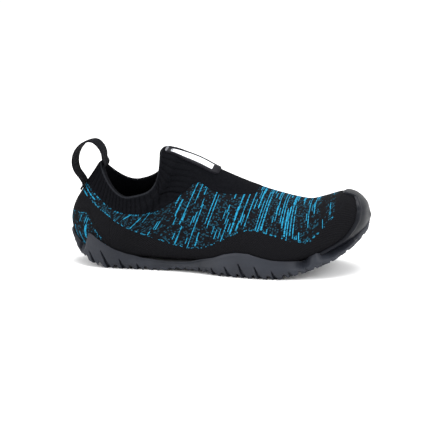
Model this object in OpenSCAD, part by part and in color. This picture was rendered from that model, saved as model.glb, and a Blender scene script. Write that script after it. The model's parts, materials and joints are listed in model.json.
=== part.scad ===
// Slip-on knit water shoe, right foot: toe towards +X, outer side of the foot towards -Y.
// The origin is on the ground, under the middle of the shoe.

/* [Size] */
// Overall length, heel to toe
shoe_length = 284; // [250:1:310]
// Width, as a share of the standard width
width_share = 1; // [0.92:0.01:1.08]

/* [Upper] */
// Thickness of the knitted upper
knit_t = 2; // [1.5:0.1:2.4]
// Thickness of the neoprene lining
lining_t = 1.4; // [1:0.1:1.8]
// Thickness of the stiffeners between knit and lining
stiffener_t = 1; // [0.6:0.1:1.2]

/* [Sole] */
// Thickness of the rubber that wraps up the upper
rubber_t = 2.6; // [2:0.1:3.5]
// Depth of the tread
lug_depth = 3; // [2:0.1:3.6]
// Distance from one tread groove to the next
lug_pitch = 15; // [13:0.5:18]

/* [Flex] */
// Place of the flex line at the ball of the foot
flex_x = 62; // [56:1:66]
// Height of the flex axis
flex_z = 9; // [7:0.5:10]
// Furthest that the toe bends up
flex_deg = 32; // [10:1:34]

/* [Heel loop] */
// Width of the webbing
loop_w = 20; // [12:1:24]
// Thickness of the webbing
loop_t = 1.4; // [1:0.1:2]

/* [Hidden] */

std_length = 284;
k = shoe_length / std_length;
kw = k * width_share;
// Clearance between pieces that lie on each other
gap = 0.2;
far = 400;

// ---------- curves ----------

// A point on the smooth curve through the rows of a table, at row number u.
function row_at(tab, i) = tab[max(0, min(len(tab) - 1, i))];
function smooth(p0, p1, p2, p3, t) =
    0.5 * (2 * p1 + (p2 - p0) * t + (2 * p0 - 5 * p1 + 4 * p2 - p3) * t * t
           + (3 * p1 - p0 - 3 * p2 + p3) * t * t * t);
function curve(tab, u) =
    let (i = max(0, min(len(tab) - 2, floor(u))))
    smooth(row_at(tab, i - 1), row_at(tab, i), row_at(tab, i + 1), row_at(tab, i + 2), u - i);
function curve_points(tab, steps) =
    [for (i = [0 : steps]) curve(tab, i * (len(tab) - 1) / steps)];
function times(a, b) = [for (i = [0 : len(a) - 1]) a[i] * b[i]];
function reversed(list) = [for (i = [len(list) - 1 : -1 : 0]) list[i]];
function raised(points, h) = [for (p = points) [p[0], p[1] + h]];

// ---------- the foot-shaped surface ----------

// The upper is a sock: sections fan from the toe tip, round the instep, to the rim of the cuff.
// Each row is one section: its lowest point x, z, its highest point x, z, its middle y, its half
// width, the height share of its widest point, the squareness of its lower and upper halves, and
// how far its sides sag below the line from lowest to highest point.
foot_rows = [
    [138.4, 49, 137.8, 57, 5, 7, 0.5, 2, 2, 0],
    [135.6, 43, 134.2, 65.5, 5, 18.5, 0.46, 2.2, 2.1, 0],
    [128.5, 36.5, 126.5, 72.5, 4.5, 28.5, 0.42, 2.6, 2.2, 0],
    [118, 30, 115, 74, 4, 36, 0.38, 3, 2.2, 0],
    [104, 23, 100, 69.5, 3, 41.5, 0.34, 3.3, 2.15, 0],
    [88, 16.5, 85, 66, 1.5, 45.2, 0.31, 3.5, 2.1, 0],
    [70, 11.8, 68, 68, 0.4, 47.2, 0.29, 3.6, 2.05, 0],
    [50, 9.8, 50, 73, 0, 47, 0.28, 3.6, 2, 0],
    [26, 9.6, 32, 79.5, -0.8, 43, 0.27, 3.6, 1.9, 0],
    [0, 9.4, 14, 87.5, -2.2, 38.2, 0.27, 3.7, 1.8, 0],
    [-28, 8.8, -4, 95, -2.8, 34.4, 0.28, 3.8, 1.75, 0],
    [-58, 8.8, -15, 100.8, -2, 33, 0.29, 3.7, 1.75, 1],
    [-88, 9.6, -25, 104.4, -1, 33, 0.31, 3.2, 1.85, 6],
    [-114, 12.2, -33, 106.5, -0.4, 33.6, 0.33, 2.7, 2.1, 14],
    [-132.5, 20.5, -38, 107.7, 0, 34.6, 0.36, 2.4, 2.5, 22],
    [-141.8, 37, -42.4, 108.6, 0, 35.4, 0.38, 2.2, 3, 28.5],
    [-139.6, 54.5, -46, 109.2, 0, 34.6, 0.4, 2.1, 3.4, 33],
    [-130, 71.5, -49, 109.7, 0, 32.4, 0.42, 2, 3.7, 35.5],
    [-120, 86, -51.4, 110.1, 0, 30, 0.42, 2, 4, 36.4],
    [-113.6, 96, -53.2, 110.4, 0, 28.6, 0.42, 2, 4.3, 35.6]
];
row_scale = [k, k, k, k, kw, kw, 1, 1, 1, k];
// The inner side of the opening dips less than the outer side.
inner_sag = 0.82;
last_row = len(foot_rows) - 1;
rings = 30;
spokes = 28;

function power(x, p) = sign(x) * pow(abs(x), p);
// A point of one section, at angle a from its lowest point, outer side of the foot first.
function section_point(r, a) =
    let (along = [r[2] - r[0], r[3] - r[1]],
         high = norm(along),
         e = along / high,
         up = -cos(a),
         n = up < 0 ? r[7] : r[8],
         half = up < 0 ? r[6] * high : (1 - r[6]) * high,
         p = r[6] * high + half * power(up, 2 / n),
         sag = r[9] * pow(abs(sin(a)), 1.5) * (sin(a) < 0 ? inner_sag : 1))
    [r[0] + e[0] * p + e[1] * sag, r[4] - r[5] * power(sin(a), 2 / n), r[1] + e[1] * p - e[0] * sag];

// One ring of the surface, moved outwards by off.
function foot_ring(u, off) =
    let (du = 0.02,
         da = 1,
         r = times(curve(foot_rows, u), row_scale),
         r0 = times(curve(foot_rows, max(0, u - du)), row_scale),
         r1 = times(curve(foot_rows, min(last_row, u + du)), row_scale))
    [for (j = [0 : spokes - 1])
        let (a = 360 * (j + 0.5) / spokes,
             out = cross(section_point(r, a + da) - section_point(r, a - da),
                         section_point(r1, a) - section_point(r0, a)))
        section_point(r, a) + off * out / norm(out)];

// The middle of a ring, and a closed solid through a list of rings, with a fan at each end.
function ring_middle(ring) =
    [for (c = [0 : 2]) ([for (p = ring) p[c]] * [for (p = ring) 1]) / len(ring)];
module skin(all) {
    n = len(all[0]);
    m = len(all);
    faces = [
        for (i = [0 : m - 2], j = [0 : n - 1])
            let (j1 = (j + 1) % n, a = i * n + j, b = i * n + j1, c = a + n, d = b + n)
            each [[a, c, b], [b, c, d]],
        for (j = [0 : n - 1]) [n * m, j, (j + 1) % n],
        for (j = [0 : n - 1]) [n * m + 1, (m - 1) * n + (j + 1) % n, (m - 1) * n + j]
    ];
    polyhedron([for (ring = all) each ring, ring_middle(all[0]), ring_middle(all[m - 1])], faces,
               convexity = 8);
}
function foot_rings(off) = [for (i = [0 : rings]) foot_ring(last_row * i / rings, off)];
// Everything inside the surface moved outwards by off, and the wall between two such surfaces.
module foot(off) skin(foot_rings(off));
module wall(outer, inner) skin([each foot_rings(outer), each reversed(foot_rings(inner))]);
// A piece cut from curved walls is joined into one closed shape.
module one_piece() resize([0, 0, 0]) children();

// ---------- outlines seen from the side, x and z ----------

// Underside of the sole: heel bevel, waist and toe spring.
underside = [
    [-152, 44], [-140, 24.6], [-134, 15.1], [-128, 9.6], [-122, 6], [-114, 3], [-102, 0], [-52, 0],
    [-34, 2.8], [-12, 2.8], [4, 0], [62, 0], [76, 3.2], [88, 6.8], [100, 11.5], [112, 16.5],
    [124, 24], [130, 28.5], [136, 34.4], [140, 39.8], [152, 60]
];
// Top edge of the rubber: wing at the heel, low waist, waves past the ball, seam under the bumper.
rubber_edge = [
    [-152, 24], [-139, 20], [-126, 19], [-119, 32], [-104, 24], [-84, 14.7], [-69, 11.8], [-46, 10.6],
    [-22, 11.4], [-12, 13.6], [0, 16.5], [11, 21], [22, 23], [34, 22.8], [45, 20], [56, 17.8],
    [67, 17], [81, 16.4], [91, 20.4], [97, 24.5], [104, 23.5], [113, 24.8], [120, 28.3], [126, 31.9],
    [133, 38.1], [139, 45.2], [152, 64]
];
bumper_seam = [
    [97, 24.8], [104, 23.8], [113, 25.1], [120, 28.6], [126, 32.2], [133, 38.4], [139, 45.5], [152, 64.3]
];
bumper_rim = [
    [119, 90], [119, 76], [125, 73], [129, 68.5], [131, 61], [130, 52], [126.6, 45.3], [122, 39.4],
    [116, 34], [110, 30.6], [104, 28.3]
];
// Edge where the patterned knit meets the ribbed cuff and the instep gore.
cuff_edge = [
    [-152, 91], [-126, 75], [-101, 58], [-83, 53], [-69.5, 53.5], [-54, 56], [-39, 66], [-30, 73]
];
gore_edge = [
    [-30, 73], [-20.5, 82], [-15, 83], [-4, 76], [10, 73.5], [31, 73], [36, 74], [39, 77.6], [43, 100]
];
sky = 160;

module side_region(points) rotate([90, 0, 0]) linear_extrude(far, center = true) polygon(k * points);
module below(line) side_region([[line[0][0], -sky], each line, [line[len(line) - 1][0], -sky]]);
module above(line) side_region([[line[0][0], sky], each line, [line[len(line) - 1][0], sky]]);

function at_x(line, x, i = 0) =
    i >= len(line) - 2 || x <= line[i + 1][0] ? lookup(x, [line[i], line[i + 1]]) : at_x(line, x, i + 1);

// ---------- outline of the sole seen from above ----------

outline_points = [
    [-142, 0], [-135, -17], [-120, -28], [-100, -33], [-70, -34.5], [-40, -36], [-10, -41],
    [20, -47.5], [45, -50.5], [65, -50], [85, -46.5], [105, -40], [120, -31.5], [132, -20],
    [140, -6], [142, 4], [138, 17], [128, 29], [115, 39.5], [100, 46], [80, 50], [60, 50.5],
    [45, 48.5], [20, 42], [-10, 34], [-40, 30.5], [-70, 32], [-100, 32.5], [-120, 28], [-135, 17]
];
module column(inset) linear_extrude(far, center = true) offset(delta = -inset)
    polygon([for (p = outline_points) [k * p[0], kw * p[1]]]);

// ---------- the flex line ----------

// The shoe bends up at the ball. Above the axis a wedge of soft upper folds; below it the sole parts.
half_wedge = flex_deg / 2 + 2;
module flex_wedge(half) {
    reach = sky * tan(half);
    translate([k * flex_x, 0, k * flex_z]) rotate([90, 0, 0]) linear_extrude(far, center = true)
        polygon([[0, 0], [reach, sky], [-reach, sky]]);
}
module behind_flex() difference() {
    translate([k * flex_x - far, -far / 2, -sky]) cube([far - gap, far, 3 * sky]);
    flex_wedge(half_wedge);
}
module ahead_of_flex() difference() {
    translate([k * flex_x + gap, -far / 2, -sky]) cube([far, far, 3 * sky]);
    flex_wedge(half_wedge);
}

// ---------- sole ----------

floor_t = lug_depth + 3;
pocket_inset = 7;
groove_w = 3.4;
first_groove = -127;
groove_count = 16;

module tread_grooves() for (i = [0 : groove_count - 1]) {
    x = first_groove + i * lug_pitch;
    slope = atan2(at_x(underside, x + 1) - at_x(underside, x - 1), 2);
    translate([k * x, 0, k * at_x(underside, x)]) rotate([0, -slope - 12, 0])
        cube([groove_w, far, 2 * lug_depth], center = true);
}
module sole_pocket(clear) intersection() {
    column(pocket_inset - clear);
    above(raised(underside, floor_t - clear));
}
module outsole() difference() {
    union() {
        intersection() { column(0); above(underside); below(raised(underside, 15)); below(rubber_edge); }
        intersection() { foot(rubber_t + gap); above(underside); below(rubber_edge); }
    }
    foot(gap);
    sole_pocket(gap);
    tread_grooves();
}
module midsole() difference() {
    intersection() { sole_pocket(0); below(raised(underside, 16)); below(rubber_edge); }
    foot(gap);
}
module outsole_heel() color([0.27, 0.28, 0.31]) one_piece() intersection() { outsole(); behind_flex(); }
module outsole_toe() color([0.27, 0.28, 0.31]) one_piece() intersection() { outsole(); ahead_of_flex(); }
module midsole_heel() color([0.5, 0.5, 0.52]) one_piece() intersection() { midsole(); behind_flex(); }
module midsole_toe() color([0.5, 0.5, 0.52]) one_piece() intersection() { midsole(); ahead_of_flex(); }
module toe_bumper() color([0.2, 0.21, 0.24]) one_piece() intersection() {
    wall(rubber_t + gap, gap);
    side_region([each bumper_seam, [152, 90], each bumper_rim]);
}

// ---------- upper ----------

board_inset = 12;
board_reach = 24;
module board_cut() intersection() { column(board_inset); below(raised(underside, board_reach)); }
module knit() difference() { wall(0, -knit_t); board_cut(); above(cuff_edge); above(gore_edge); }
module knit_quarters() color([0.1, 0.35, 0.45]) one_piece() intersection() { knit(); behind_flex(); }
module knit_toe_box() color([0.1, 0.35, 0.45]) one_piece() intersection() { knit(); ahead_of_flex(); }
module vamp_flex_zone() color([0.1, 0.4, 0.52]) one_piece() intersection() {
    knit();
    flex_wedge(half_wedge - 0.4);
}
module instep_gore() color([0.1, 0.1, 0.11]) one_piece() intersection() {
    wall(0, -knit_t);
    side_region([each gore_edge, [43, sky], [-90, sky], [-90, 97]]);
}
module ribbed_cuff() color([0.12, 0.12, 0.13]) one_piece() intersection() {
    wall(0, -knit_t);
    side_region([each cuff_edge, [-90, 96.6], [-90, sky], [-152, sky]]);
}
lining_out = -knit_t - stiffener_t - 2 * gap;
module neoprene_lining() color([0.05, 0.05, 0.06]) wall(lining_out, lining_out - lining_t);
module stiffener(region) one_piece() intersection() {
    wall(-knit_t - gap, -knit_t - gap - stiffener_t);
    side_region(region);
}
module heel_counter() color([0.6, 0.58, 0.5])
    stiffener([[-152, 22], [-80, 22], [-92, 42], [-112, 54], [-128, 64], [-152, 70]]);
module toe_puff() color([0.6, 0.58, 0.5])
    stiffener([[152, 42], [118, 42], [108, 52], [106, 64], [106, 90], [152, 90]]);
module strobel_board() color([0.75, 0.72, 0.66]) one_piece() intersection() { wall(0, -knit_t); board_cut(); }
insole_t = 3.2;
insole_inset = 11;
insole_out = lining_out - lining_t - gap;
module insole() color([0.2, 0.2, 0.22]) one_piece() difference() {
    intersection() { foot(insole_out); column(insole_inset); below(raised(underside, board_reach)); }
    translate([0, 0, insole_t]) foot(insole_out);
}

// ---------- instep badge ----------

badge_w = 17;
badge_from = -52;
badge_to = 2;
stripe_w = 5;
stripe_margin = 5;
module on_instep(w, from_x, to_x) intersection() {
    children();
    translate([k * from_x, -w / 2, 60]) cube([k * (to_x - from_x), w, sky]);
}
module instep_badge() color([0.15, 0.16, 0.18]) one_piece()
    on_instep(badge_w, badge_from, badge_to) wall(gap + 1.2, gap);
module badge_stripe() color("white") one_piece()
    on_instep(stripe_w, badge_from + stripe_margin, badge_to - stripe_margin) wall(gap + 2, gap + 1.3);

// ---------- heel loop ----------

// Middle line of the webbing, x and z: sewn on outside the heel, up and over, and down inside.
loop_line = [
    [-133.6, 69.5], [-131.2, 73.5], [-133.2, 78.5], [-137.4, 87], [-139.4, 96], [-137, 107], [-129.5, 114.8],
    [-119.5, 117], [-111.5, 111.5], [-108.8, 103.5], [-109.3, 98], [-105.2, 92.5], [-105, 87]
];
loop_steps = 48;
outer_tail_steps = 11;
inner_tail_steps = 9;
// A strip of webbing along part of the line.
module webbing(from, to) {
    pts = curve_points(loop_line, loop_steps);
    side = function(i, d)
        let (t = pts[min(i + 1, loop_steps)] - pts[max(i - 1, 0)])
        k * pts[i] + d * [-t[1], t[0]] / norm(t);
    rotate([90, 0, 0]) linear_extrude(loop_w, center = true)
        polygon([for (i = [from : to]) side(i, loop_t / 2), for (i = [to : -1 : from]) side(i, -loop_t / 2)]);
}
module pull_loop() color([0.22, 0.22, 0.25]) webbing(outer_tail_steps, loop_steps - inner_tail_steps);
module loop_outer_tail() color([0.18, 0.18, 0.2]) webbing(0, outer_tail_steps);
module loop_inner_tail() color([0.18, 0.18, 0.2]) webbing(loop_steps - inner_tail_steps, loop_steps);

outsole_heel();
outsole_toe();
midsole_heel();
midsole_toe();
toe_bumper();
knit_quarters();
vamp_flex_zone();
knit_toe_box();
instep_gore();
ribbed_cuff();
neoprene_lining();
heel_counter();
toe_puff();
strobel_board();
insole();
instep_badge();
badge_stripe();
pull_loop();
loop_outer_tail();
loop_inner_tail();
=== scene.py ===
import json
import math

import bpy
import numpy as np
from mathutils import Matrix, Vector
from mathutils.bvhtree import BVHTree


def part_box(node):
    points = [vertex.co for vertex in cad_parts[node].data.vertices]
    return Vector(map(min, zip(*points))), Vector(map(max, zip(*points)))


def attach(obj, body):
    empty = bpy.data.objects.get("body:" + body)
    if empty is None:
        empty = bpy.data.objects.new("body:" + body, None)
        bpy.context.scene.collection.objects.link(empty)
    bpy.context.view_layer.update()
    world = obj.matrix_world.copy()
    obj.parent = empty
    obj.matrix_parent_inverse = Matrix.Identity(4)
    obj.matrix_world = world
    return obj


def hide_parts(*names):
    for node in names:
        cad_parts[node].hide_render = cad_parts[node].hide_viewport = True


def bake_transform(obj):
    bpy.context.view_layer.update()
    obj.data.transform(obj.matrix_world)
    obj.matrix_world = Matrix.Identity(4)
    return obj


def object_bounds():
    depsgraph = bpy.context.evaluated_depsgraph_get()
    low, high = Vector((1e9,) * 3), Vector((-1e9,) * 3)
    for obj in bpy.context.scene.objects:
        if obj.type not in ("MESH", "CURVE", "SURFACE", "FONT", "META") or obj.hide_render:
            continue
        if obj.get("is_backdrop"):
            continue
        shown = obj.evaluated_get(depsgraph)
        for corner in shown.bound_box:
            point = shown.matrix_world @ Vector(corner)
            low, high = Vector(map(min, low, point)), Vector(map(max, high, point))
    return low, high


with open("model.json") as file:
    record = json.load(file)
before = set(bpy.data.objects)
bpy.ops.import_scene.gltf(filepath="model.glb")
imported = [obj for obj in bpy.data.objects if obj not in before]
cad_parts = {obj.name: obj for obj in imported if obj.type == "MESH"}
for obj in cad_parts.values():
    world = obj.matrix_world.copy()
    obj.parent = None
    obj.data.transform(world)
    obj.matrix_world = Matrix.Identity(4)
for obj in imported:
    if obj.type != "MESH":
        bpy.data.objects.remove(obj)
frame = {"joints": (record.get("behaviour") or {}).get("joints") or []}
cad_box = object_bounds()

# ---- the frame's own measures

MM = 0.001
TABLE_LENGTH = 283.6  # the tables below are in millimetres, for a shoe of this length
K = (cad_box[1][0] - cad_box[0][0]) / MM / TABLE_LENGTH
JOINTS = {j["name"]: j for j in frame["joints"]}

# ---- curves and the foot surface


def catmull(table, u):
    """Points on the smooth curve through a table's rows, at row numbers u."""
    table = np.asarray(table, float)
    u = np.asarray(u, float)
    i = np.clip(np.floor(u).astype(int), 0, len(table) - 2)
    t = (u - i)[..., None]
    p0, p1 = table[np.maximum(i - 1, 0)], table[i]
    p2, p3 = table[i + 1], table[np.minimum(i + 2, len(table) - 1)]
    return 0.5 * (
        2 * p1
        + (p2 - p0) * t
        + (2 * p0 - 5 * p1 + 4 * p2 - p3) * t**2
        + (3 * p1 - p0 - 3 * p2 + p3) * t**3
    )


def smoothstep(x, low, high):
    t = np.clip((x - low) / (high - low), 0, 1)
    return t * t * (3 - 2 * t)


def table_at(table, x):
    """Value at x of a table with rows of x and value."""
    table = np.asarray(table, float)
    return np.interp(x, table[:, 0], table[:, 1])


def line_at(line, x):
    """Height of a side-view outline at x."""
    return table_at(np.asarray(line, float) * K, x)


# One section of the sock a row, from the toe's tip round the heel's arc to the rim of the cuff: its lowest
# point x, z, its highest point x, z, its middle y, its half width, the height share of its widest point,
# the squareness of its lower and upper halves, and how far its sides sag below its own straight line.
SECTIONS = np.array([
    [139.6, 53, 139.4, 53.2, 5, 0.2, 0.5, 2, 2, 0],
    [138.4, 49, 137.8, 57, 5, 7, 0.5, 2, 2, 0],
    [135.6, 43, 134.2, 65.5, 5, 18.5, 0.46, 2.2, 2.1, 0],
    [128.5, 36, 126.5, 72.5, 4.5, 28.5, 0.42, 2.6, 2.2, 0],
    [118, 29, 115, 74, 4, 36, 0.38, 3, 2.2, 0],
    [104, 22.5, 100, 69.5, 3, 41.5, 0.34, 3.3, 2.15, 0],
    [88, 16, 86, 66, 1.5, 45.2, 0.31, 3.5, 2.1, 0],
    [70, 11.8, 72, 68, 0.4, 47.2, 0.29, 3.6, 2.05, 0],
    [50, 9.8, 60, 71, 0, 47, 0.28, 3.6, 2, 0],
    [26, 9.6, 44, 76, -0.8, 43.6, 0.27, 3.6, 1.9, 0],
    [0, 9.4, 24, 83.4, -2.2, 38.8, 0.27, 3.7, 1.8, 0],
    [-28, 8.8, 1, 93, -2.8, 34.6, 0.28, 3.8, 1.75, 0],
    [-58, 8.8, -15, 100.8, -2, 33, 0.29, 3.7, 1.75, 1],
    [-88, 9.6, -25, 104.4, -1, 33, 0.31, 3.2, 1.85, 6],
    [-114, 12.2, -33, 106.5, -0.4, 33.6, 0.33, 2.7, 2.1, 14],
    [-132.5, 20.5, -38, 107.7, 0, 34.6, 0.36, 2.4, 2.5, 22],
    [-141.8, 37, -42.4, 108.6, 0, 35.4, 0.38, 2.2, 3, 28.5],
    [-139.6, 54.5, -46, 109.2, 0, 34.6, 0.4, 2.1, 3.4, 33],
    [-130, 71.5, -49, 109.7, 0, 32.4, 0.42, 2, 3.7, 35.5],
    [-120, 86, -51.4, 110.1, 0, 30, 0.42, 2, 4, 36.4],
    [-113.6, 96, -53.2, 110.4, 0, 28.6, 0.42, 2, 4.3, 35.6],
])
LOW, HIGH = slice(0, 2), slice(2, 4)
MIDDLE_Y, HALF_WIDTH, WIDEST, LOWER_SQUARE, UPPER_SQUARE, SAG = range(4, 10)
RIM = len(SECTIONS) - 1.0  # row number of the cuff's rim


def section_points(u, angle):
    """Raw points of the sections u at angles from their lowest point, outer side of the foot first."""
    r = catmull(SECTIONS, u)[:, None, :]
    along = r[..., HIGH] - r[..., LOW]
    high = np.linalg.norm(along, axis=-1)
    e = along / high[..., None]
    up, side = -np.cos(angle)[None], np.sin(angle)[None]
    square = np.where(up < 0, r[..., LOWER_SQUARE], r[..., UPPER_SQUARE])
    half = np.where(up < 0, r[..., WIDEST], 1 - r[..., WIDEST]) * high

    def power(v):
        return np.sign(v) * np.abs(v) ** (2 / square)

    p = r[..., WIDEST] * high + half * power(up)
    inner_side = 0.82 - 0.25 * np.maximum(up, 0)
    sag = r[..., SAG] * np.abs(side) ** 1.5 * np.where(side < 0, inner_side, 1)
    x = r[..., 0] + e[..., 0] * p + e[..., 1] * sag
    z = r[..., 1] + e[..., 1] * p - e[..., 0] * sag
    return np.stack([x, r[..., MIDDLE_Y] - r[..., HALF_WIDTH] * power(side), z], -1) * K


class Sock:
    """The outer face of the upper: rings u (row numbers) and shares s round each ring, from its lowest
    point, 0.25 on the outer side of the foot, 0.5 on the ridge, 0.75 on the inner side."""

    RINGS, SPOKES, FINE_ANGLES = 321, 360, 1441
    PASSES_ROUND, PASSES_ALONG = 6, 8

    def __init__(self):
        self.u = np.linspace(0, RIM, self.RINGS)
        raw = section_points(self.u, np.linspace(0, 2 * np.pi, self.FINE_ANGLES))
        step = np.linalg.norm(np.diff(raw, axis=1), axis=-1)
        run = np.concatenate([np.zeros((self.RINGS, 1)), np.cumsum(step, 1)], 1)
        self.girth = run[:, -1]
        share = np.arange(self.SPOKES) / self.SPOKES
        self.points = np.stack([
            np.stack([np.interp(share * run[i, -1], run[i], raw[i, :, c]) for c in range(3)], -1)
            for i in range(self.RINGS)
        ])
        self.smooth()
        along_s = np.roll(self.points, -1, 1) - np.roll(self.points, 1, 1)
        normal = np.cross(along_s, np.gradient(self.points, axis=0))
        self.normals = normal / np.maximum(np.linalg.norm(normal, axis=-1, keepdims=True), 1e-9)
        self.normals[0] = [1, 0, 0]

    def smooth(self):
        for _ in range(self.PASSES_ROUND):
            near = np.roll(self.points, 1, 1) + np.roll(self.points, -1, 1)
            self.points = self.points * 0.5 + near * 0.25
        for _ in range(self.PASSES_ALONG):
            inner = self.points[:-2] * 0.25 + self.points[1:-1] * 0.5 + self.points[2:] * 0.25
            self.points[1:-1] = inner

    def sample(self, grid, u, s):
        """Values of a grid over the whole sock at rows u and shares s."""
        gu = np.clip(u / RIM, 0, 1) * (len(grid) - 1)
        gs = np.mod(s, 1) * grid.shape[1]
        iu, js = np.minimum(np.floor(gu).astype(int), len(grid) - 2), np.floor(gs).astype(int)
        tu, ts = (gu - iu)[..., None], (gs - js)[..., None]
        a, b = js % grid.shape[1], (js + 1) % grid.shape[1]
        low = grid[iu, a] * (1 - ts) + grid[iu, b] * ts
        high = grid[iu + 1, a] * (1 - ts) + grid[iu + 1, b] * ts
        return low * (1 - tu) + high * tu

    def at(self, u, s, out=0.0):
        """Points on the surface moved outwards by out millimetres."""
        u, s, out = np.broadcast_arrays(*(np.asarray(v, float) for v in (u, s, out)))
        n = self.sample(self.normals, u, s)
        n = n / np.maximum(np.linalg.norm(n, axis=-1, keepdims=True), 1e-9)
        return self.sample(self.points, u, s) + n * out[..., None]


sock = Sock()

# ---- outlines seen from the side, x and z

UNDERSIDE = [
    [-152, 44], [-140, 24.6], [-134, 15.1], [-128, 9.6], [-122, 6], [-114, 3], [-102, 0], [-52, 0],
    [-34, 2.8], [-12, 2.8], [4, 0], [62, 0], [76, 3.2], [88, 6.8], [100, 11.5], [112, 16.5],
    [124, 24], [130, 28.5], [136, 34.4], [140, 39.8], [143, 47],
]
RUBBER_EDGE = [
    [-152, 31], [-141, 29.5], [-137, 26], [-132, 19.6], [-127, 18.4], [-125.5, 20], [-119.5, 32.4],
    [-117, 32], [-104, 24], [-94, 18.5], [-84, 14.7], [-69, 10.8], [-46, 8.8], [-30, 9.4], [-22, 10.4],
    [-12, 13.6], [0, 16.5], [11, 21], [22, 23.2], [34, 22.9], [45, 20], [56, 17.9], [67, 17.2],
    [81, 16.6], [86, 15.2], [90, 17.6], [93, 21.4], [98, 24.5], [104, 23.5], [113, 24.8], [120, 28.3],
    [126, 31.9], [133, 38.1], [139, 45.2], [143, 52.5],
]
BUMPER_RIM = [  # height, then x
    [20, 95], [24.6, 98], [28.3, 104], [30.6, 110], [34, 116], [39.4, 122], [45.3, 126.6], [52, 130],
    [61, 131.2], [68.5, 129.2], [71.5, 127], [73, 123], [73.8, 117], [74.6, 114.5], [84, 113.5],
]
CUFF_EDGE = [
    [-152, 88], [-138, 81], [-126, 75], [-113, 66], [-101, 58], [-92, 54.6], [-83, 53], [-69.5, 53.5],
    [-54, 56], [-39, 66], [-28, 75], [-10, 90],
]
GORE_EDGE = [
    [-60, 44], [-30, 73], [-20.5, 82], [-15, 83], [-4, 76.5], [3, 74.4], [10, 73.5], [20, 73.3], [31, 73],
    [36, 74], [39, 77.6], [41, 90],
]
# Lower edge of the patterned knit: above it stripes, below it plain black mesh.
SWOOSH = [
    [-150, 82], [-130, 68], [-120, 61], [-110, 55], [-94, 46], [-79, 38.6], [-71, 35.5], [-57, 31.5],
    [-36, 26], [-23, 23.7], [-12, 24.5], [-3, 27], [5, 30.7], [12, 35], [26, 42], [36, 43.8],
    [44, 43.4], [52, 41.5], [61, 39.6], [73, 36], [79, 35.7], [88, 34.5], [92, 36], [97, 42],
    [102, 44.6], [107, 53], [120, 66], [140, 90],
]
# The small striped patch behind the heel wing lies below this line.
HEEL_PATCH = [[-150, 49.5], [-134, 49.5], [-123, 50.2], [-113.5, 36.8], [-104.6, 26.9], [-96, 14], [-90, 0]]

# How thickly the floats lie, against x along the foot.
FLOAT_AMOUNT = [
    [-150, 0.9], [-118, 0.9], [-110, 0.4], [-75, 0.45], [-52, 0.65], [-34, 1.05], [30, 1.5], [84, 1.6],
    [95, 1.2], [99, 0.12], [103, 0.12], [105, 0.95], [110, 0.95], [112, 0.08],
]
# The sole's outline seen from above, x and y.
OUTLINE = np.array([
    [-142, 0], [-135, -17], [-120, -28], [-100, -33], [-70, -34.5], [-40, -36], [-10, -41],
    [20, -47.5], [45, -50.5], [65, -50], [85, -46.5], [105, -40], [120, -31.5], [132, -20],
    [140, -6], [142, 4], [138, 17], [128, 29], [115, 39.5], [100, 46], [80, 50], [60, 50.5],
    [45, 48.5], [20, 42], [-10, 34], [-40, 30.5], [-70, 32], [-100, 32.5], [-120, 28], [-135, 17],
])


def first_below(points, line):
    """For each row of points, the share of the way along it at which it first falls below the line."""
    gap = points[..., 2] - line_at(line, points[..., 0])
    under = gap < 0
    hit = np.where(under.any(-1), np.maximum(np.argmax(under, -1), 1), points.shape[-2] - 1)
    rows = np.arange(len(points))
    before, after = gap[rows, hit - 1], gap[rows, hit]
    t = np.clip(before / np.where(np.abs(before - after) < 1e-9, 1, before - after), 0, 1)
    return (hit - 1 + t) / (points.shape[-2] - 1)


# ---- meshes


def build(name, points, faces, material, **floats):
    """A smooth-shaded object from millimetre points, with float attributes on its points."""
    mesh = bpy.data.meshes.new(name)
    mesh.from_pydata((np.asarray(points) * MM).tolist(), [], faces)
    mesh.validate()
    mesh.polygons.foreach_set("use_smooth", np.ones(len(mesh.polygons), bool))
    for key, values in floats.items():
        attribute = mesh.attributes.new(key, "FLOAT", "POINT")
        attribute.data.foreach_set("value", np.asarray(values, np.float32).ravel())
    mesh.materials.append(material)
    obj = bpy.data.objects.new(name, mesh)
    bpy.context.scene.collection.objects.link(obj)
    return obj


def quads(rows, columns, wrap, first=0, flip=False):
    """Faces of a grid of points, numbered row by row from first."""
    i, j = np.meshgrid(np.arange(rows - 1), np.arange(columns if wrap else columns - 1), indexing="ij")
    k = (j + 1) % columns
    f = np.stack([i * columns + j, (i + 1) * columns + j, (i + 1) * columns + k, i * columns + k], -1)
    f = f.reshape(-1, 4) + first
    return (f[:, ::-1] if flip else f).tolist()


def strip(a, b):
    """Faces between two rows of point numbers."""
    a, b = np.asarray(a), np.asarray(b)
    return np.stack([a[:-1], b[:-1], b[1:], a[1:]], -1).tolist()


def shell(name, outer, inner, wrap, material, **floats):
    """A closed sheet with thickness from two grids of points."""
    rows, columns = outer.shape[:2]
    count = rows * columns
    faces = quads(rows, columns, wrap) + quads(rows, columns, wrap, count, flip=True)
    number = np.arange(count).reshape(rows, columns)
    first, last = (np.append(row, row[0]) if wrap else row for row in (number[0], number[-1]))
    faces += strip(first + count, first) + strip(last, last + count)
    if not wrap:
        left, right = number[:, 0], number[:, -1]
        faces += strip(left, left + count) + strip(right + count, right)
    points = np.concatenate([outer.reshape(-1, 3), inner.reshape(-1, 3)])
    doubled = {key: np.tile(np.ravel(values), 2) for key, values in floats.items()}
    return build(name, points, faces, material, **doubled)


def tube(name, grid, material, **floats):
    """A closed form from a grid whose rows and columns both come round to where they began."""
    rows, columns = grid.shape[:2]
    faces = (np.array(quads(rows + 1, columns, True)) % (rows * columns)).tolist()
    return build(name, grid.reshape(-1, 3), faces, material, **floats)


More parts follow.
